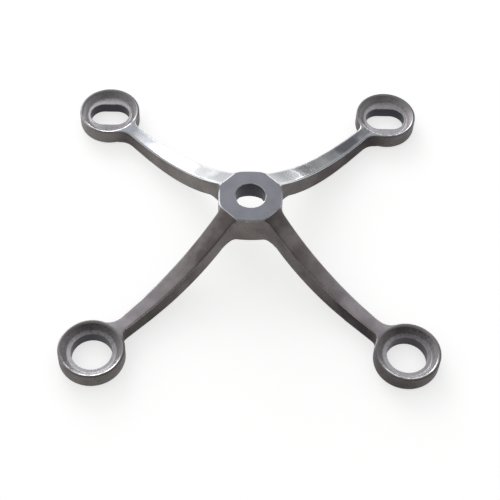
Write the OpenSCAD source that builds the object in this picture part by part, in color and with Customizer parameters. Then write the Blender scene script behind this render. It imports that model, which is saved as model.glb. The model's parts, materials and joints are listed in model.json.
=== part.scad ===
// Four-arm glass spider fitting, cast in stainless steel as one piece.
// Four arched arms join a raised hub to four cups, which hold the glass bolts at the corners
// of a square. Two cups have round holes, and two have slots that take up the glass tolerances.
// It stands on its cups: z = 0 is their underside, the hub bore is the z axis, and +y points
// to the slotted pair.

/* [Layout] */
// Distance between neighbouring cup centres, along x and along y
cup_pitch = 220; // [200:1:300]
// Height of the hub's top face above the cups' underside
total_height = 46.7; // [35:0.1:80]

/* [Hub] */
// Width of the hub's top face, side to side, at its corners
hub_width = 43; // [34:0.5:52]
// How far each side bulges outward at its middle
hub_bulge = 0.8; // [0.2:0.1:3]
// Distance from the bore axis to each corner face, where an arm starts
hub_corner = 23; // [20:0.5:34]
// Height of the hub block
hub_height = 23.2; // [14:0.1:40]
// How far the sloping top edge of each side stands out
hub_edge_out = 1; // [0.2:0.1:3]
// How far down the sloping top edge of each side reaches
hub_edge_down = 1.8; // [0.2:0.1:5]
// How far the hub's machined top and bottom stand proud of the start of the arms
hub_proud = 0.3; // [0.1:0.1:1]

/* [Hub bore] */
// Bore diameter, clearance for an M20 bolt
bore_d = 22; // [10:0.5:30]
// Length of the bore, from the top face to the socket below
bore_length = 13; // [5:0.5:20]
// Chamfer at the mouth of the bore
bore_chamfer = 0.7; // [0.2:0.1:2]
// Diameter of the socket in the underside
socket_d = 35; // [24:0.5:40]

/* [Arms] */
// Width of an arm at the hub
arm_root_width = 15; // [8:0.5:22]
// Width of an arm where its top becomes level
arm_tip_width = 10.6; // [6:0.2:20]
// Distance from the bore axis at which the arm's top becomes level
arm_top_level_at = 122; // [110:1:136]
// Distance from the bore axis at which the arm's underside leaves the hub
arm_under_starts_at = 33; // [26:0.5:60]
// Distance from the bore axis at which the arm's underside becomes level
arm_under_level_at = 106; // [80:1:118]
// Gap below the level end of the arm, so that only the cups bear
arm_lift = 0.8; // [0.2:0.1:4]
// Radius of the inner corners between the arms and the hub
hub_fillet = 6; // [2:0.5:20]
// Radius of the corner between arm and cup, on the side that faces +x or -x
cup_fillet_wide = 12; // [3:0.5:30]
// Radius of the corner between arm and cup, on the side that faces +y or -y
cup_fillet_tight = 6; // [2:0.5:30]

/* [Cups] */
// Outer diameter of a cup
cup_d = 46.8; // [36:0.2:70]
// Height of a cup
cup_height = 13.5; // [8:0.1:24]
// Radius of the cup's bottom outer edge
cup_base_round = 2.5; // [0.5:0.1:6]
// Diameter of the recess at the rim
recess_rim_d = 42.4; // [30:0.2:60]
// Diameter of the flat ledge at the bottom of the recess
recess_ledge_d = 34.6; // [24:0.2:56]
// Depth of the ledge below the rim
recess_depth = 4.5; // [2:0.1:9]
// Diameter of the round hole in the two near cups
hole_d = 28.6; // [10:0.2:32]
// Length of the slot in the two far cups
slot_length = 30.6; // [12:0.2:34]
// Width of the slot
slot_width = 21.2; // [8:0.2:28]

/* [Hidden] */
$fn = 96;

steel = [0.66, 0.67, 0.69];
over = 1;                                    // how far a cut runs past the faces it opens
cup_at = cup_pitch / 2;
cup_reach = cup_at * sqrt(2);                // a cup's distance from the bore axis
cup_floor = cup_height - recess_depth;       // height of the ledge
hub_base = total_height - hub_height;
arm_top = total_height - hub_proud;
arm_under = hub_base + hub_proud;
arm_start = bore_d / 2 + 1;                  // the arms begin inside the hub block
arm_end = cup_reach - 0.35 * cup_d;          // and end inside the cup's wall

// Each hub side is an arc through its two corners and its bulged middle. side_shift is how far
// the arc's centre lies from the bore axis, on the side away from the arc.
corner_half = hub_corner * sqrt(2) - hub_width / 2;
side_r = (pow(corner_half, 2) + pow(hub_bulge, 2)) / (2 * hub_bulge);
side_shift = side_r - hub_width / 2 - hub_bulge;

// An arm narrows from root to tip by this angle on each side.
taper = atan((arm_root_width - arm_tip_width) / 2 / (arm_top_level_at - hub_corner));

// Half the arm's width at the distance x from the bore axis.
function arm_half(x) = arm_root_width / 2 - (x - hub_corner) * tan(taper);

// Radius of an arc that is level at one end and climbs by rise over run.
function arc_r(run, rise) = (pow(run, 2) + pow(rise, 2)) / (2 * rise);

// Centre of the fillet circle of radius r that touches the arm's upper edge and the outside of
// a circle with centre q and radius qr. toward is 1 if it lies outward of q, and -1 if inward.
function fillet_centre(q, qr, r, toward) =
    let (
        along = [cos(taper), -sin(taper)],
        out = [sin(taper), cos(taper)],
        edge = [hub_corner, arm_root_width / 2],
        reach = sqrt(pow(qr + r, 2) - pow(r - (q - edge) * out, 2))
    )
    edge + ((q - edge) * along + toward * reach) * along + r * out;

// Fills the inner corner between the arm's upper edge and that circle, as far as the arc. root
// is a point on the arm's middle line inside the hub or the cup.
module fillet(q, qr, r, toward, root) {
    c = fillet_centre(q, qr, r, toward);
    into_q = c + (r + over) * (q - c) / norm(q - c);
    into_arm = c - (r + over) * [sin(taper), cos(taper)];
    difference() {
        polygon([c, into_q, root, into_arm]);
        translate(c) circle(r);
    }
}

// Side view of an arm: x is the distance from the bore axis, and y is the height. Both the top
// and the underside swoop down along an arc and then run level into the cup. The pieces overlap,
// so that each corner is one clean crossing of an arc and a line.
module arm_profile() {
    top_r = arc_r(arm_top_level_at - hub_corner, arm_top - cup_height);
    under_r = arc_r(arm_under_level_at - arm_under_starts_at, arm_under - arm_lift);
    middle = (arm_under_starts_at + arm_under_level_at) / 2;
    difference() {
        union() {
            translate([arm_start, arm_under]) square([middle - arm_start, arm_top - arm_under]);
            intersection() {
                translate([arm_start, 0]) square([arm_under_level_at - arm_start, arm_top]);
                translate([arm_under_level_at, arm_lift + under_r]) circle(under_r);
            }
            translate([arm_under_level_at, arm_lift])
                square([arm_top_level_at - arm_under_level_at, arm_top - arm_lift]);
            translate([arm_top_level_at, arm_lift])
                square([cup_reach - arm_top_level_at, cup_height - arm_lift]);
        }
        intersection() {
            translate([arm_start, 0]) square([arm_top_level_at - arm_start, 2 * total_height]);
            translate([arm_top_level_at, cup_height + top_r]) circle(top_r);
        }
    }
}

// Gives a plan shape the arm's side view.
module shape_arm() {
    intersection() {
        linear_extrude(total_height) children();
        translate([0, cup_d, 0]) rotate([90, 0, 0]) linear_extrude(2 * cup_d) arm_profile();
    }
}

// An arm that runs along +x. Its lower edge, on the -y side, has the wide fillet at the cup.
module arm() {
    shape_arm() polygon([
        [arm_start, -arm_half(arm_start)], [arm_end, -arm_half(arm_end)],
        [arm_end, arm_half(arm_end)], [arm_start, arm_half(arm_start)]
    ]);
    for (lower = [0, 1]) mirror([0, lower, 0]) {
        shape_arm() fillet(
            -side_shift * [1, 1] / sqrt(2), side_r + hub_edge_out, hub_fillet, 1,
            [arm_start + over, 0]);
        shape_arm() fillet(
            [cup_reach, 0], cup_d / 2, lower ? cup_fillet_wide : cup_fillet_tight, -1,
            [arm_end - over, 0]);
    }
}

// The hub block: four broad discs, one for each bulged side, and a square turned by 45 degrees
// for the corner faces where the arms start.
module hub_block() {
    intersection() {
        intersection_for (side = [0:90:270]) rotate(side) translate([-side_shift, 0, hub_base]) {
            cylinder(r = side_r + hub_edge_out, h = hub_height - hub_edge_down);
            translate([0, 0, hub_height - hub_edge_down])
                cylinder(r1 = side_r + hub_edge_out, r2 = side_r, h = hub_edge_down);
        }
        rotate(45) translate([-hub_corner, -hub_corner, 0])
            cube([2 * hub_corner, 2 * hub_corner, total_height + over]);
    }
}

// Bolt bore with a chamfered mouth, and the wider socket below it.
module hub_bore() {
    cylinder(d = bore_d, h = total_height + over);
    cylinder(d = socket_d, h = total_height - bore_length);
    translate([0, 0, total_height - bore_chamfer])
        cylinder(d1 = bore_d, d2 = bore_d + 2 * (bore_chamfer + over), h = bore_chamfer + over);
}

// A cup without its recess, on the z axis.
module cup_body() {
    rotate_extrude() difference() {
        square([cup_d / 2, cup_height]);
        translate([cup_d / 2 - cup_base_round, 0]) difference() {
            square(cup_base_round);
            translate([0, cup_base_round]) circle(cup_base_round);
        }
    }
}

// The recess: a conical wall down to the ledge.
module recess() {
    slope = (recess_rim_d - recess_ledge_d) / recess_depth;
    translate([0, 0, cup_floor])
        cylinder(d1 = recess_ledge_d, d2 = recess_rim_d + slope * over, h = recess_depth + over);
}

// A hole that is lengthened along x by the given amount.
module slot(length, width) {
    run = length - width;
    for (end = [-1, 1]) translate([end * run / 2, 0, -over])
        cylinder(d = width, h = cup_height + over);
    if (run > 0) translate([-run / 2, -width / 2, -over]) cube([run, width, cup_height + over]);
}

// Places its children on the four diagonals, mirrored so that left and right, and near and far,
// match each other.
module each_quarter() {
    for (left = [0, 1], near = [0, 1]) mirror([left, 0]) mirror([0, near]) children();
}

module spider_casting() {
    color(steel) difference() {
        union() {
            hub_block();
            each_quarter() rotate(45) {
                arm();
                translate([cup_reach, 0, 0]) cup_body();
            }
        }
        hub_bore();
        each_quarter() translate([cup_at, cup_at, 0]) recess();
        for (side = [-1, 1]) {
            translate([side * cup_at, cup_at, 0]) slot(slot_length, slot_width);
            translate([side * cup_at, -cup_at, -over])
                cylinder(d = hole_d, h = cup_height + over);
        }
    }
}

spider_casting();
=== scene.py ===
import json
import math

import bmesh
import bpy
from mathutils import Matrix, Vector


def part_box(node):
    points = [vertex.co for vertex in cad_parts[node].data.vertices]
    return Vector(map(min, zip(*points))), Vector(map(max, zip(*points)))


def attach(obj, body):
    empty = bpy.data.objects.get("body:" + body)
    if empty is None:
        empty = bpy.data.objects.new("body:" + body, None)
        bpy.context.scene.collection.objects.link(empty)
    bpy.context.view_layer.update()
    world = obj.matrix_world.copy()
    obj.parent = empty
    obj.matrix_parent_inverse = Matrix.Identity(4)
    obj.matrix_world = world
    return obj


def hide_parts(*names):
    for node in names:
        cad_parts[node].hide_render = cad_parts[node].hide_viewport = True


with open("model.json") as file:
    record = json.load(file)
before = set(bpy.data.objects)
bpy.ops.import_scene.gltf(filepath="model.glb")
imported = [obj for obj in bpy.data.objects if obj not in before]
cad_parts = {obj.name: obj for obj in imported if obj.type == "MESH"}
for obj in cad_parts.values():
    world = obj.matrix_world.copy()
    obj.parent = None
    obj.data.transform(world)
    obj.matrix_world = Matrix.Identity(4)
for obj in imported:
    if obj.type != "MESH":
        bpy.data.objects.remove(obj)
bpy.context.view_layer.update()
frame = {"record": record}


# ---------------------------------------------------------------------------------------------
# Hub
# The raised block that the four arms spring from. It is cast solid with them, then ground flat
# on top with a sloping edge, drilled for the bolt and counterbored from below.
# The casting is built in mm, one quarter at a time, with u along the quarter's arm and v across.

mm_per_m = 1000
mounts = {mount["name"]: mount for mount in frame["record"]["mounts"]}
diagonal = math.pi / 4       # direction of a quarter's arm in plan

hub_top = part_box("spider_casting")[1][2] * mm_per_m
hub_under = 23.5
hub_half = 21.5              # half the width of the top, at its corners
hub_bulge = 0.8              # how far each side bulges outward at its middle
slope_out = 1.0              # how far the sloping edge of each side stands out
slope_z = 44.9               # and the height at its foot
corner_at = 23.0             # from the bore's axis to each corner face, where an arm starts
corner_bevel = 0.7           # the chamfer between the top and a corner face: its width
corner_drop = 0.35           # and how far down it reaches
corner_inset = 0.3           # and how much narrower it is at its upper edge, at each end
bore_r = mounts["hub_bore"]["dims"]["r_mm"]
bore_bevel = 0.4             # the chamfer at the bore's mouth: its width
bore_drop = 0.2              # and how far down it reaches
socket_r = 17.5              # the counterbore from below
socket_z = 33.7
side_cells = 4

# Each side is an arc. side_shift is how far its centre lies beyond the bore's axis.
corner_half = corner_at * math.sqrt(2) - hub_half
side_r = (corner_half ** 2 + hub_bulge ** 2) / (2 * hub_bulge)
side_shift = side_r - hub_half - hub_bulge

# Where the arm's lengthwise edges lie: across its width, and down its sides from the top.
ACROSS = (-1, -0.78, -0.46, -0.15, 0.15, 0.46, 0.78, 1)
DOWN = (0, 0.45, 0.7, 0.88, 1)
across_cells = len(ACROSS) - 1
down_cells = len(DOWN) - 1

# The browner polish on the near pair is a painted warm reflection.
# The rubbed finish is bright partly from wear and partly as a painted highlight.
CAST, POLISHED, GROUND, TURNED, DRILLED, RUBBED_AND_HIGHLIT, POLISHED_WARM_REFLECTION = range(7)
hub_finishes = (DRILLED, RUBBED_AND_HIGHLIT, GROUND, RUBBED_AND_HIGHLIT, *[CAST] * down_cells, CAST, DRILLED, DRILLED)
hub_side_row = hub_finishes.index(CAST)


def mix(start, end, share):
    """The value that lies the given share of the way from start to end."""
    return start + (end - start) * share


def bent_grid(bm, columns, rows, place, finish, window=lambda column, row: False):
    """A sheet of cells with its corners moved to place(column, row) and its cells given
    finish(column, row). The cells in the window are left open."""
    corners = bmesh.ops.create_grid(bm, x_segments=columns, y_segments=rows, size=0.5)["verts"]
    opened = []
    for cell in {face for corner in corners for face in corner.link_faces}:
        middle = cell.calc_center_median()
        column, row = int((middle.x + 0.5) * columns), int((middle.y + 0.5) * rows)
        cell.material_index = finish(column, row)
        if window(column, row):
            opened.append(cell)
    for corner in corners:
        corner.co = place(
            round((corner.co.x + 0.5) * columns), round((corner.co.y + 0.5) * rows))
    bmesh.ops.delete(bm, geom=opened, context="FACES")


def hub_outline(column, bend_r, corner):
    """A point of the hub's outline in plan: half a side, the corner face where the arm starts,
    and half the next side. bend_r is the radius of the sides' arcs, and corner(share) is a
    point across the corner face."""
    if side_cells <= column <= side_cells + across_cells:
        return corner(ACROSS[column - side_cells])
    before = column < side_cells
    end_u, end_v = corner(1)
    step = (column if before else 2 * side_cells + across_cells - column) / side_cells
    y = (end_u - end_v) / math.sqrt(2) * step
    x = math.sqrt(bend_r ** 2 - y ** 2) - side_shift
    v = (x - y) / math.sqrt(2)
    return (x + y) / math.sqrt(2), -v if before else v


def add_hub(bm):
    """A quarter of the hub, in rows from the bore over the top, down the side, and under it to
    the counterbore. The arm starts at a window in the side."""
    columns = 2 * side_cells + across_cells

    def upper_corner(share):
        return corner_at - corner_bevel, share * (root_half - corner_inset)

    def lower_corner(share):
        if abs(share) == 1:
            return hub_flare.on_circle.x, share * hub_flare.on_circle.y
        return corner_at, share * root_half

    def place(column, row):
        lower = hub_outline(column, side_r + slope_out, lower_corner)
        upper = hub_outline(column, side_r, upper_corner)
        at_arm = side_cells < column < side_cells + across_cells
        way = Vector(lower).normalized()
        return [
            (*way * bore_r, socket_z),
            (*way * bore_r, hub_top - bore_drop),
            (*way * (bore_r + bore_bevel), hub_top),
            (*upper, hub_top),
            (*lower, arm_top_z(corner_at) if at_arm else slope_z),
            *((*lower, mix(slope_z, hub_under, down)) for down in DOWN[1:]),
            (*way * socket_r, hub_under),
            (*way * socket_r, socket_z),
            (*way * bore_r, socket_z),
        ][row]

    def finish(column, row):
        return hub_finishes[row]

    def window(column, row):
        return (side_cells <= column < side_cells + across_cells
                and hub_side_row <= row < hub_side_row + down_cells)

    bent_grid(bm, columns, len(hub_finishes), place, finish, window)


# ---------------------------------------------------------------------------------------------
# Cups
# The round ends that hold the glass bolts. They are cast with the arms. A turned recess with a
# flat ledge leads down to the hole: round in the near pair, slotted in the far pair.

cup_at = mounts["round_holes"]["dims"]["spacing_x_mm"] / 2
cup_reach = cup_at * math.sqrt(2)
cup_r = 23.4
cup_height = 13.5
base_round = 2.5             # radius of the bottom outer edge
recess_r = 21.2              # the recess at the rim
ledge_r = 17.3               # and the flat ledge at its bottom
ledge_z = 9.0
hole_r = mounts["round_holes"]["dims"]["hole_r_mm"]
slot_r = mounts["slotted_holes"]["dims"]["hole_r_mm"]
slot_run = mounts["slotted_holes"]["dims"]["slot_length_mm"] / 2 - slot_r
cup_cells = 72
middle_crowding = 0.2        # how much of their spacing the arm's middle edges keep at the cup
cup_finishes = (TURNED, TURNED, POLISHED, *[CAST] * down_cells, CAST, DRILLED)
cup_wall_row = cup_finishes.index(CAST)

# The outer wall from the rim down and round the bottom edge: (radius, height).
cup_wall = [(cup_r, cup_height)] + [
    (mix(cup_r - base_round, cup_r, math.cos(turn)), mix(base_round, 0, math.sin(turn)))
    for turn in map(math.radians, (0, 30, 60, 90))]


def hole_radius(angle, slotted):
    """From the cup's centre to the edge of its hole, at the angle from the x axis, along which
    a slot runs."""
    across, along = abs(math.sin(angle)), abs(math.cos(angle))
    if not slotted:
        return hole_r
    if slot_run * across > slot_r * along:
        return slot_r / across
    return slot_run * along + math.sqrt(slot_r ** 2 - (slot_run * across) ** 2)


def cup_joint_v(share):
    """Where a lengthwise edge of the arm meets the cup's outer wall. The edges crowd towards
    the middle there, clear of the flares."""
    share *= mix(middle_crowding, 1, abs(share))
    return mix(-wide_flare.on_circle.y, tight_flare.on_circle.y, (share + 1) / 2)


def add_cup(bm, slotted):
    """A cup in rows: the ledge, the recess wall, the rim, the outer wall, the underside and the
    wall of the hole. The arm comes in through a window in the outer wall."""
    joint = [math.asin(cup_joint_v(share) / cup_r) for share in ACROSS]
    free_cells = cup_cells - across_cells
    step = (2 * math.pi - joint[-1] + joint[0]) / free_cells
    angles = joint + [joint[-1] + step * (n + 1) for n in range(free_cells)]

    def place(column, row):
        angle = math.pi - angles[column]
        hole = hole_radius(angle + diagonal, slotted)
        section = [(hole, ledge_z), (ledge_r, ledge_z), (recess_r, cup_height), *cup_wall,
                   (hole, 0), (hole, ledge_z)]
        radius, z = section[row]
        return cup_reach + radius * math.cos(angle), radius * math.sin(angle), z

    def finish(column, row):
        return cup_finishes[row]

    def window(column, row):
        return column < across_cells and cup_wall_row <= row < cup_wall_row + down_cells

    bent_grid(bm, cup_cells, len(cup_finishes), place, finish, window)


# ---------------------------------------------------------------------------------------------
# Arms
# Four arched bars, cast in one with hub and cups. Top and underside swoop down along an arc and
# run level into the cup. The sides taper, and flare out into the hub and into the cup.

root_half = 7.5              # half the width at the hub
tip_half = 5.3               # and where the top becomes level
top_level_at = 122.0         # from the bore's axis to where the top becomes level
under_starts_at = 33.0       # to where the underside leaves the hub
under_level_at = 106.0       # and to where it becomes level
arm_lift = 0.8               # the gap below that level end
hub_flare_r = 6.0
wide_flare_r = 12.0          # at the cup, on the side that faces +x or -x
tight_flare_r = 6.0          # and on the side that faces +y or -y
edge_drop = 0.45             # how far the top's outer edges lie below its crown
arm_rings = 26
narrowing = (root_half - tip_half) / (top_level_at - corner_at)


class Flare:
    """An inner corner of the plan: an arc that touches the arm's side and a circle. toward is
    1 if it lies outward of the circle, and -1 if it lies inward."""

    def __init__(self, circle, circle_r, radius, toward):
        slope = math.atan(narrowing)
        along = Vector((math.cos(slope), -math.sin(slope)))
        out = Vector((math.sin(slope), math.cos(slope)))
        edge = Vector((corner_at, root_half))
        reach = math.sqrt((circle_r + radius) ** 2 - (radius - (circle - edge).dot(out)) ** 2)
        middle = ((circle - edge).dot(along) + toward * reach) * along
        self.radius = radius
        self.centre = edge + middle + radius * out
        self.on_circle = self.centre + (circle - self.centre).normalized() * radius
        self.on_arm = self.centre - radius * out

    def half_width(self, u):
        """Half the arm's width on the flare."""
        return self.centre.y - math.sqrt(self.radius ** 2 - (u - self.centre.x) ** 2)


cup_centre = Vector((cup_reach, 0))
wide_flare = Flare(cup_centre, cup_r, wide_flare_r, -1)
tight_flare = Flare(cup_centre, cup_r, tight_flare_r, -1)
hub_flare = Flare(Vector((-side_shift, -side_shift)) / math.sqrt(2), side_r + slope_out,
                  hub_flare_r, 1)


def half_width(u):
    """Half the arm's width without its flares."""
    return root_half - (u - corner_at) * narrowing


def swoop(u, starts_at, level_at, start_z, level_z):
    """Height of an arc that comes down from start_z and is level at level_at."""
    run, rise = level_at - starts_at, start_z - level_z
    radius = (run ** 2 + rise ** 2) / (2 * rise)
    return level_z + radius - math.sqrt(radius ** 2 - min(max(level_at - u, 0), run) ** 2)


def arm_top_z(u):
    """Height of the arm's crown."""
    return swoop(u, corner_at, top_level_at, hub_top - corner_drop, cup_height)


def arm_under_z(u):
    """Height of the arm's underside."""
    return swoop(u, under_starts_at, under_level_at, hub_under, arm_lift)


# The arm's rings from the cup to the hub: the stretch that each is in, and how far along it.
rings = ([("cup", share) for share in (0, 0.13, 0.28, 0.45, 0.7, 1)]
         + [("bar", (n + 1) / arm_rings) for n in range(arm_rings)]
         + [("hub", share) for share in (0.3, 0.6, 0.85, 1)])


def add_arm(bm):
    """A tube with a boxed section, whose end rings fit the windows in the cup and the hub."""

    def place(ring, spot):
        if spot <= across_cells:
            share, down = ACROSS[spot], 0
        elif spot <= across_cells + down_cells:
            share, down = 1, DOWN[spot - across_cells]
        elif spot <= 2 * across_cells + down_cells:
            share, down = ACROSS[2 * across_cells + down_cells - spot], 1
        else:
            share, down = -1, DOWN[2 * across_cells + 2 * down_cells - spot]
        stretch, t = rings[ring]
        if stretch == "cup" and t == 0:
            v = cup_joint_v(share)
            radius, z = cup_wall[DOWN.index(down)]
            shrink = radius / cup_r
            return cup_reach - math.sqrt(cup_r ** 2 - v ** 2) * shrink, v * shrink, z
        if stretch == "cup":
            joint_v = cup_joint_v(share)
            u = mix(cup_reach - math.sqrt(cup_r ** 2 - joint_v ** 2), wide_flare.on_arm.x, t)
            sides = [side * (flare.half_width(u) if u > flare.on_arm.x else half_width(u))
                     for side, flare in ((-1, wide_flare), (1, tight_flare))]
            top = arm_top_z(u) - (edge_drop * t if abs(share) == 1 else 0)
            return u, mix(*sides, (share + 1) / 2), mix(top, arm_under_z(u), down)
        if stretch == "bar" or abs(share) < 1:
            start, end = wide_flare.on_arm.x, hub_flare.on_arm.x
            if stretch == "hub":
                start, end = end, corner_at
            u = mix(start, end, t)
            top = arm_top_z(u) - (edge_drop if abs(share) == 1 else 0)
            return u, share * half_width(u), mix(top, arm_under_z(u), down)
        u = mix(hub_flare.on_arm.x, hub_flare.on_circle.x, t)
        top = arm_top_z(u) - mix(edge_drop, arm_top_z(corner_at) - slope_z, t ** 2)
        return u, share * hub_flare.half_width(u), mix(top, arm_under_z(u), down)

    def finish(ring, spot):
        return POLISHED if spot < across_cells else CAST

    bent_grid(bm, len(rings) - 1, 2 * across_cells + 2 * down_cells, place, finish)


# ---------------------------------------------------------------------------------------------
# The whole casting
# One pour of stainless steel: the four quarters are joined, and the edges that aren't already
# chamfered are broken by hand. It stands on its cups with nothing fixed to it.

same_place = 0.01            # points nearer than this are one
corner_angle = math.radians(12)
broken_angle = math.radians(35)
near_ground = 0.9
belt_reach = 0.45            # how far up a broken edge must face to be polished

bm = bmesh.new()
for right in (1, -1):
    for far in (1, -1):
        earlier = set(bm.verts)
        add_hub(bm)
        add_arm(bm)
        add_cup(bm, slotted=far > 0)
        turn = Matrix.Diagonal((right, far, 1, 1)) @ Matrix.Rotation(diagonal, 4, "Z")
        bmesh.ops.transform(bm, matrix=turn, verts=[v for v in bm.verts if v not in earlier])
bmesh.ops.remove_doubles(bm, verts=bm.verts, dist=same_place)
bmesh.ops.recalc_face_normals(bm, faces=bm.faces)


def finishes_beside(edge):
    """The finishes of the faces that meet at an edge."""
    return {face.material_index for face in edge.link_faces}


def is_low(edge):
    """Whether an edge is one of those just above the ground, under the level ends of the arms
    and round the bottoms of the cups. They are left as cast."""
    return same_place < max(vert.co.z for vert in edge.verts) < near_ground


def on_rim(vert):
    """Whether a corner of the mesh is on the outer edge of a cup's rim."""
    from_cup = math.hypot(abs(vert.co.x) - cup_at, abs(vert.co.y) - cup_at)
    return abs(from_cup - cup_r) < same_place and abs(vert.co.z - cup_height) < same_place


corners = [edge for edge in bm.edges if edge.calc_face_angle() > corner_angle]
chamfered = [edge for edge in corners if RUBBED_AND_HIGHLIT in finishes_beside(edge)]
for edge in chamfered:
    edge.smooth = False
broken = [edge for edge in corners
          if edge not in chamfered and edge.calc_face_angle() > broken_angle
          and not is_low(edge)]

# For each pair of finishes beside an edge: how wide it is broken, and the finish it is left with.
breaks = (({CAST}, 0.4, CAST), ({DRILLED}, 0.4, DRILLED), ({CAST, DRILLED}, 0.4, CAST),
          ({TURNED}, 0.4, TURNED), ({TURNED, DRILLED}, 0.4, TURNED),
          ({POLISHED, CAST}, 0.8, POLISHED), ({POLISHED, TURNED}, 0.9, RUBBED_AND_HIGHLIT))
groups = [[edge for edge in broken if finishes_beside(edge) == beside] for beside, *_ in breaks]

# The belt runs from the arms on over the rims, so no edge is left between the two.
joints = [edge for edge in bm.edges
          if finishes_beside(edge) == {POLISHED} and all(on_rim(vert) for vert in edge.verts)]
bmesh.ops.dissolve_edges(bm, edges=joints)
for edges, (_, width, finish) in zip(groups, breaks):
    rounded = bmesh.ops.bevel(bm, geom=edges, offset=width, offset_type="OFFSET",
                              affect="EDGES", segments=3, profile=0.5, material=-1,
                              clamp_overlap=False)
    for face in rounded["faces"]:
        face.normal_update()
        steep = finish == POLISHED and face.normal.z < belt_reach
        face.material_index = CAST if steep else finish

# What the belt has polished on the near pair of arms and cups is tinted browner: a painted warm
# reflection.
for face in bm.faces:
    face.smooth = True
    if face.material_index == POLISHED and face.calc_center_median().y < 0:
        face.material_index = POLISHED_WARM_REFLECTION
bmesh.ops.scale(bm, vec=[1 / mm_per_m] * 3, verts=bm.verts)

# The bevels leave the mesh in another order at each run, so it is sorted along a slanting line.
slant = Vector((1, 0.618, 0.414))
bm.verts.sort(key=lambda vert: vert.co.dot(slant))
bm.faces.sort(key=lambda face: face.calc_center_median().dot(slant))

casting_mesh = bpy.data.meshes.new("casting")
bm.to_mesh(casting_mesh)
bm.free()
casting = bpy.data.objects.new("casting", casting_mesh)
bpy.context.scene.collection.objects.link(casting)
even_shading = casting.modifiers.new("even_shading", "WEIGHTED_NORMAL")
even_shading.keep_sharp = True


class Signal:
    """An output socket. Arithmetic on it adds Math nodes."""

    mix_low, mix_high, mix_result = 6, 7, 2    # the colour sockets of a Mix node

    def __init__(self, tree, socket=None):
        self.tree = tree
        self.socket = socket

    def node(self, kind, settings={}, sockets={}, output=0):
        """Adds a node, with its settings made first and then its sockets set or linked."""
        made = self.tree.nodes.new(kind)
        for name, value in settings.items():
            setattr(made, name, value)
        for name, value in sockets.items():
            if isinstance(value, Signal):
                self.tree.links.new(value.socket, made.inputs[name])
            else:
                made.inputs[name].default_value = value
        return Signal(self.tree, made.outputs[output])

    def math(self, operation, *values):
        """A Math node on the values."""
        return self.node("ShaderNodeMath", {"operation": operation}, dict(enumerate(values)))

    def __add__(self, other):
        return self.math("ADD", self, other)

    def __sub__(self, other):
        return self.math("SUBTRACT", self, other)

    def __rsub__(self, other):
        return self.math("SUBTRACT", other, self)

    def __mul__(self, other):
        return self.math("MULTIPLY", self, other)

    def __pow__(self, other):
        return self.math("POWER", self, other)

    def __abs__(self):
        return self.math("ABSOLUTE", self)

    __radd__ = __add__
    __rmul__ = __mul__

    def noise(self, scale, detail):
        """Soft noise from 0 to 1 over this vector. scale is its features per unit, and detail
        is how many finer layers it has."""
        sockets = {"Vector": self, "Scale": scale, "Detail": detail}
        return self.node("ShaderNodeTexNoise", sockets=sockets, output="Fac")

    def step(self, start, end):
        """Rises smoothly from 0 to 1 as this value goes from start to end."""
        return self.node("ShaderNodeMapRange", {"interpolation_type": "SMOOTHSTEP"},
                         {"Value": self, "From Min": start, "From Max": end})

    def tint(self, low, high):
        """The colour between low and high that this value picks."""
        sockets = {"Factor": self, self.mix_low: (*low, 1), self.mix_high: (*high, 1)}
        return self.node("ShaderNodeMix", {"data_type": "RGBA"}, sockets, self.mix_result)

    def parts(self):
        """The x, y and z of this vector."""
        split = self.node("ShaderNodeSeparateXYZ", sockets={"Vector": self}).socket.node
        return [Signal(self.tree, socket) for socket in split.outputs]

    def joined(self, x, y, z):
        """The vector of x, y and z."""
        return self.node("ShaderNodeCombineXYZ", sockets={"X": x, "Y": y, "Z": z})


def steel(name, low, high, rough_low, rough_high, relief, marks):
    """A finish of the casting. marks(place), with place in mm, gives the height of its surface
    marks, as a share of relief in mm, and a share by which they lighten the colour from low to
    high and lower the roughness from rough_high to rough_low. It may also give a haze that adds
    to the roughness."""
    material = bpy.data.materials.new(name)
    material.use_nodes = True
    tree = material.node_tree
    shader = tree.nodes["Principled BSDF"]
    shader.inputs["Metallic"].default_value = 1
    metres = Signal(tree).node("ShaderNodeTexCoord", output="Object")
    place = metres.node("ShaderNodeVectorMath", {"operation": "SCALE"},
                        {"Vector": metres, "Scale": mm_per_m})
    height, clean, *haze = marks(place)
    tree.links.new(clean.tint(low, high).socket, shader.inputs["Base Color"])
    rough = sum(haze, rough_high - (rough_high - rough_low) * clean)
    tree.links.new(rough.socket, shader.inputs["Roughness"])
    sockets = {"Distance": relief / mm_per_m, "Height": height}
    bump = place.node("ShaderNodeBump", sockets=sockets)
    tree.links.new(bump.socket, shader.inputs["Normal"])
    casting_mesh.materials.append(material)


def cast_marks(place):
    """Grainy mould skin with lumps, scattered pits and blotches of scale. Over it, light and shade
    are painted into the colour: it is lighter near the hub, on the cups and on the far left, and
    darker along the arms towards the cups, as painted reflections of the lit floor and its shadow."""
    x, y, _ = place.parts()
    grain = place.noise(0.9, 6)
    lumps = place.noise(0.14, 2)
    from_pit = place.node("ShaderNodeTexVoronoi", sockets={"Vector": place, "Scale": 0.28})
    filled = from_pit.step(0.04, 0.16)
    reach = (x * x + y * y) ** 0.5
    # Painted light and shade: lighter near the hub and on the cups, darker along the arms between,
    # and lighter on the far left.
    painted_reach_light = 0.62 - 0.42 * reach.step(25, 115) + 0.3 * reach.step(128, 140)
    painted_far_left_light = 0.0007 * (y - x) + 0.3 * (y - x).step(30, 90) * reach.step(122, 95)
    blotch = place.noise(0.05, 5).step(0.25, 0.75)
    clean = (painted_reach_light + painted_far_left_light + 0.3 * (blotch - 0.5) + 0.35 * (grain - 0.5)) * filled
    return 0.45 * grain + 1.0 * lumps + 0.5 * filled, clean


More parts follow.
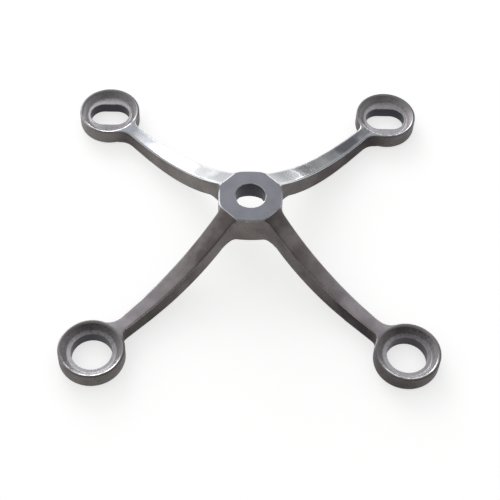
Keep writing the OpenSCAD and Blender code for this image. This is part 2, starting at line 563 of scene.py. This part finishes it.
def polished_marks(place):
    """Scratches of the belt along the arm, slow waves of its pressure, and dull smears. Light and
    shade are painted over them into the colour. The far left arm is the brightest, with a painted
    highlight, and has a hazy stretch before its cup. The far right arm has two patches of painted
    shade along its middle. Both far arms have painted highlights along their edges and next to the
    hub. The near arms have painted shade towards the hub, the left more so. The rims are painted
    the darkest, with a painted sheen on their left. One side of each arm is painted a little
    lighter than the other. along is measured from the hub's axis, and across from the arm's
    middle."""
    x, y, z = place.parts()
    rim = (x * x + y * y).step(132 ** 2, 140 ** 2)
    far_left = (y - x).step(20, 90) * (1 - rim)
    far = y.step(0, 20) * (1 - rim)
    right = x.step(0, 20)
    x, y = abs(x), abs(y)
    along, across = math.cos(diagonal) * (x + y), math.sin(diagonal) * (x - y)
    belt = place.joined(0.05 * along, 1.5 * across, 0.2 * z)
    scratches = belt.noise(1.0, 4)
    waves = place.noise(0.07, 2)
    smear = place.noise(0.06, 4).step(0.35, 0.7)
    bar_half = root_half - narrowing * (along - corner_at)
    edge = (abs(across) - bar_half).step(-2.6, -0.8)
    # Painted shade: two dark patches along the far right arm's middle.
    patchy = along + 16 * (place.noise(0.12, 3) - 0.5)
    dull = (patchy.step(50, 53) * patchy.step(68, 60)
            + patchy.step(96, 102) * patchy.step(124, 114)) * far * right * (1 - edge)
    # Painted shade on the near arms towards the hub, and painted highlights along the far arms'
    # edges and next to the hub.
    darker = 0.004 * (92 - along) * (2 - right) * (1 - far) * (1 - rim)
    lighter = 0.5 * edge + 0.3 * along.step(36, 24)
    # A painted sheen on the left of the rims.
    painted_left_rim_sheen = rim * ((x - cup_at) * (1 - 2 * right)).step(3, 18)
    # far_left adds a painted highlight, the rims are painted darker, and across paints one side
    # lighter.
    clean = (0.3 + 0.37 * smear + 0.22 * (scratches - 0.5) + 0.022 * across + 0.45 * far_left
             + far * lighter - 0.45 * dull - darker - 0.6 * rim + 0.3 * painted_left_rim_sheen)
    by_cup = far_left * along.step(90, 104) * along.step(129, 117)
    ripple = place.noise(0.17, 2) * by_cup
    return 3.0 * waves + 2.0 * ripple + 0.08 * scratches, clean, 0.22 * by_cup


def ground_marks(place):
    """Fine rings left by the grinding wheel round the bore, and a few dull stains."""
    x, y, _ = place.parts()
    reach = (x * x + y * y) ** 0.5
    rings = place.joined(1.8 * reach, 0.02 * x, 0.02 * y).noise(1.0, 3)
    unstained = place.noise(0.09, 4).step(0.3, 0.7)
    return rings, 0.7 * unstained + 0.6 * (rings - 0.5) + 0.15


def ahead_in_cup(y):
    """How far in front of its cup's middle a place is."""
    return (abs(y) - cup_at) * (2 * y.step(50, -50) - 1)


def turned_marks(place):
    """Rings of the turning tool round the cup's middle, over specks of the cast skin. Light and
    shade are painted into the recess's colour: it is lighter at its front than at its back, where
    painted shade stands, its side walls are painted lighter towards the rim, and its left side is
    painted lighter."""
    x, y, z = place.parts()
    near = y.step(50, -50)
    ahead = ahead_in_cup(y)
    # tilt and the term with near paint the recess lighter at its front than at its back.
    tilt = 0.002 * x * (1 - near) - 0.06 * near
    from_middle = abs(x) - cup_at
    reach = (from_middle * from_middle + ahead * ahead) ** 0.5
    rings = place.joined(1.3 * reach, 0.9 * z, 0.01 * x).noise(1.0, 3)
    speck = place.noise(0.5, 5).step(0.3, 0.55)
    # Painted light and shade: the side walls are painted lighter towards the rim, the back wall
    # darker, and the left side lighter.
    wall = 0.22 * (z - ledge_z) * (0.35 - 0.5 * ahead.step(5, -15))
    left = (from_middle * (1 - 2 * x.step(-50, 50))).step(3, 14)
    clean = (0.52 + 0.3 * (rings - 0.5) + 0.2 * (speck - 0.7) + tilt * ahead.step(0, 15)
             + 0.02 * near * ahead + 0.24 * left + wall)
    return 0.5 * rings + 0.5 * speck, clean


def drilled_marks(place):
    """Spiral traces of the drill, over a very dark colour that is painted shade inside the bore
    and the holes.
    """
    x, y, z = place.parts()
    traces = place.joined(0.02 * x, 0.02 * y, 1.4 * z).noise(1.0, 3)
    return traces, traces


def rubbed_and_highlight_marks(place):
    """Bright where the edge has been worn by rubbing, with short dull gaps: the brightness is
    partly that wear and partly a painted highlight. The hub's right side and the backs of the cups
    are painted dull, as painted shade."""
    x, y, _ = place.parts()
    at_cup = abs(x).step(60, 80)
    # Painted shade: the hub's right side and the backs of the cups are painted dull.
    dull = x.step(18, 20) * y.step(12, 9) * (1 - at_cup) + at_cup * ahead_in_cup(y).step(17, 2)
    rubbed_and_highlit = place.noise(0.16, 5).step(0.34, 0.52) * (1 - dull)
    return place.noise(0.8, 3), rubbed_and_highlit


# In the order of the finishes' numbers: dark and light colour, lowest and highest roughness,
# relief and marks.
steel("as_cast_steel", (0.04, 0.03, 0.034), (0.235, 0.217, 0.207), 0.42, 0.62, 0.12, cast_marks)
steel("polished_steel", (0.2, 0.2, 0.22), (0.71, 0.73, 0.76), 0.13, 0.3, 0.06, polished_marks)
steel("ground_steel", (0.33, 0.335, 0.375), (0.46, 0.465, 0.51), 0.26, 0.4, 0.006, ground_marks)
steel("turned_steel", (0.2, 0.183, 0.195), (0.78, 0.755, 0.785), 0.4, 0.6, 0.04, turned_marks)
# The drilled finish's very dark colour is painted shade inside the bore and the holes.
steel("drilled_steel", (0.038, 0.035, 0.042), (0.07, 0.066, 0.076), 0.35, 0.5, 0.01, drilled_marks)
# The rubbed finish's bright colour is partly wear and partly a painted highlight along the edges.
steel("rubbed_steel", (0.36, 0.355, 0.36), (0.88, 0.88, 0.89), 0.16, 0.36, 0.01, rubbed_and_highlight_marks)
# A copy of the polished finish, tinted browner as a painted warm reflection on the near arms and
# cups.
steel("browned_steel", (0.235, 0.2, 0.207), (0.755, 0.71, 0.72), 0.13, 0.3, 0.06, polished_marks)

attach(casting, "root")
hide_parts("spider_casting")


# ---------------------------------------------------------------------------------------------
# Floor
# A wide sheet of plain white card, which the casting stands on. It shows nearly white to the
# camera and in the steel, and still takes the casting's shadow.

floor_half = 6
card_glow = 0.66

floor_bm = bmesh.new()
bmesh.ops.create_grid(floor_bm, x_segments=1, y_segments=1, size=floor_half)
floor_mesh = bpy.data.meshes.new("floor")
floor_bm.to_mesh(floor_mesh)
floor_bm.free()
floor = bpy.data.objects.new("floor", floor_mesh)
bpy.context.scene.collection.objects.link(floor)

card = bpy.data.materials.new("white_card")
card.use_nodes = True
card_shader = card.node_tree.nodes["Principled BSDF"]
card_shader.inputs["Base Color"].default_value = (0.8, 0.8, 0.8, 1)
card_shader.inputs["Roughness"].default_value = 0.9
card_shader.inputs["Specular IOR Level"].default_value = 0
card_shader.inputs["Emission Color"].default_value = (1, 1, 1, 1)
card_signal = Signal(card.node_tree)
seen = (card_signal.node("ShaderNodeLightPath", output="Is Camera Ray")
        + card_signal.node("ShaderNodeLightPath", output="Is Glossy Ray")
        + card_signal.node("ShaderNodeLightPath", output="Is Transmission Ray"))
card.node_tree.links.new((card_glow * seen).socket, card_shader.inputs["Emission Strength"])
floor_mesh.materials.append(card)


# ---------------------------------------------------------------------------------------------
# Studio light
# A dim room that is paler at the back, most of all low down, darker behind the camera and to
# the right, and cooler high at the back. Of its two soft lamps, a large one at the back left
# brightens the tops of the arms, and a low strip lights the far edge of the far right arm.

world = bpy.data.worlds.new("room")
bpy.context.scene.world = world
world.use_nodes = True
room = Signal(world.node_tree)
east, north, lift = room.node("ShaderNodeTexCoord", output="Generated").parts()
low_back = lift.step(0.28, 0.05) * north.step(0.0, 0.8)
level = 0.36 + 0.22 * north - 0.12 * east + (0.7 - 0.45 * east) * low_back
camera_ray = room.node("ShaderNodeLightPath", output="Is Camera Ray")
cool = lift.step(0.3, 0.8) * north.step(0.0, 0.5)
colour = cool.tint((1.01, 1, 0.97), (0.95, 0.965, 1.02))
background = world.node_tree.nodes["Background"]
world.node_tree.links.new((level + camera_ray).socket, background.inputs["Strength"])
world.node_tree.links.new(colour.socket, background.inputs["Color"])


def soft_lamp(name, azimuth, elevation, distance, width, height, energy):
    """An area lamp that faces the hub. azimuth is in degrees from +y towards +x."""
    lamp = bpy.data.lights.new(name, "AREA")
    lamp.shape = "RECTANGLE"
    lamp.size = width
    lamp.size_y = height
    lamp.energy = energy
    held = bpy.data.objects.new(name, lamp)
    bpy.context.scene.collection.objects.link(held)
    turn, rise = math.radians(azimuth), math.radians(elevation)
    way = Vector((math.sin(turn) * math.cos(rise), math.cos(turn) * math.cos(rise),
                  math.sin(rise)))
    facing = way.to_track_quat("Z", "Y").to_matrix().to_4x4()
    held.matrix_world = Matrix.Translation(way * distance) @ facing


soft_lamp("back_left_lamp", azimuth=-22, elevation=27, distance=2.4,
          width=1.45, height=1.2, energy=12)
soft_lamp("back_strip_lamp", azimuth=17, elevation=8, distance=2.4,
          width=1.65, height=0.11, energy=2.15)


# ---------------------------------------------------------------------------------------------
# Camera
# It looks down at the casting from the front, 54 degrees above the floor and 3 degrees to the
# left. It is also rolled by 3 degrees, and aims a little in front of the hub.

tilt, swing, roll = math.radians(54.18), math.radians(-3.0), math.radians(3.2)
distance = 0.9145
aim = Vector((0.00046, -0.0247, 0.0135))
back = Vector((math.sin(swing) * math.cos(tilt), -math.cos(swing) * math.cos(tilt),
               math.sin(tilt)))
side = Vector((math.cos(swing), math.sin(swing), 0))
upward = side.cross(-back)
camera = bpy.data.objects.new("camera", bpy.data.cameras.new("camera"))
camera.data.lens = 89.78
bpy.context.scene.collection.objects.link(camera)
axes = Matrix((side * math.cos(roll) + upward * math.sin(roll),
               upward * math.cos(roll) - side * math.sin(roll), back)).transposed()
camera.matrix_world = Matrix.Translation(aim + back * distance) @ axes.to_4x4()
bpy.context.scene.camera = camera
bpy.context.scene.view_settings.view_transform = "Standard"
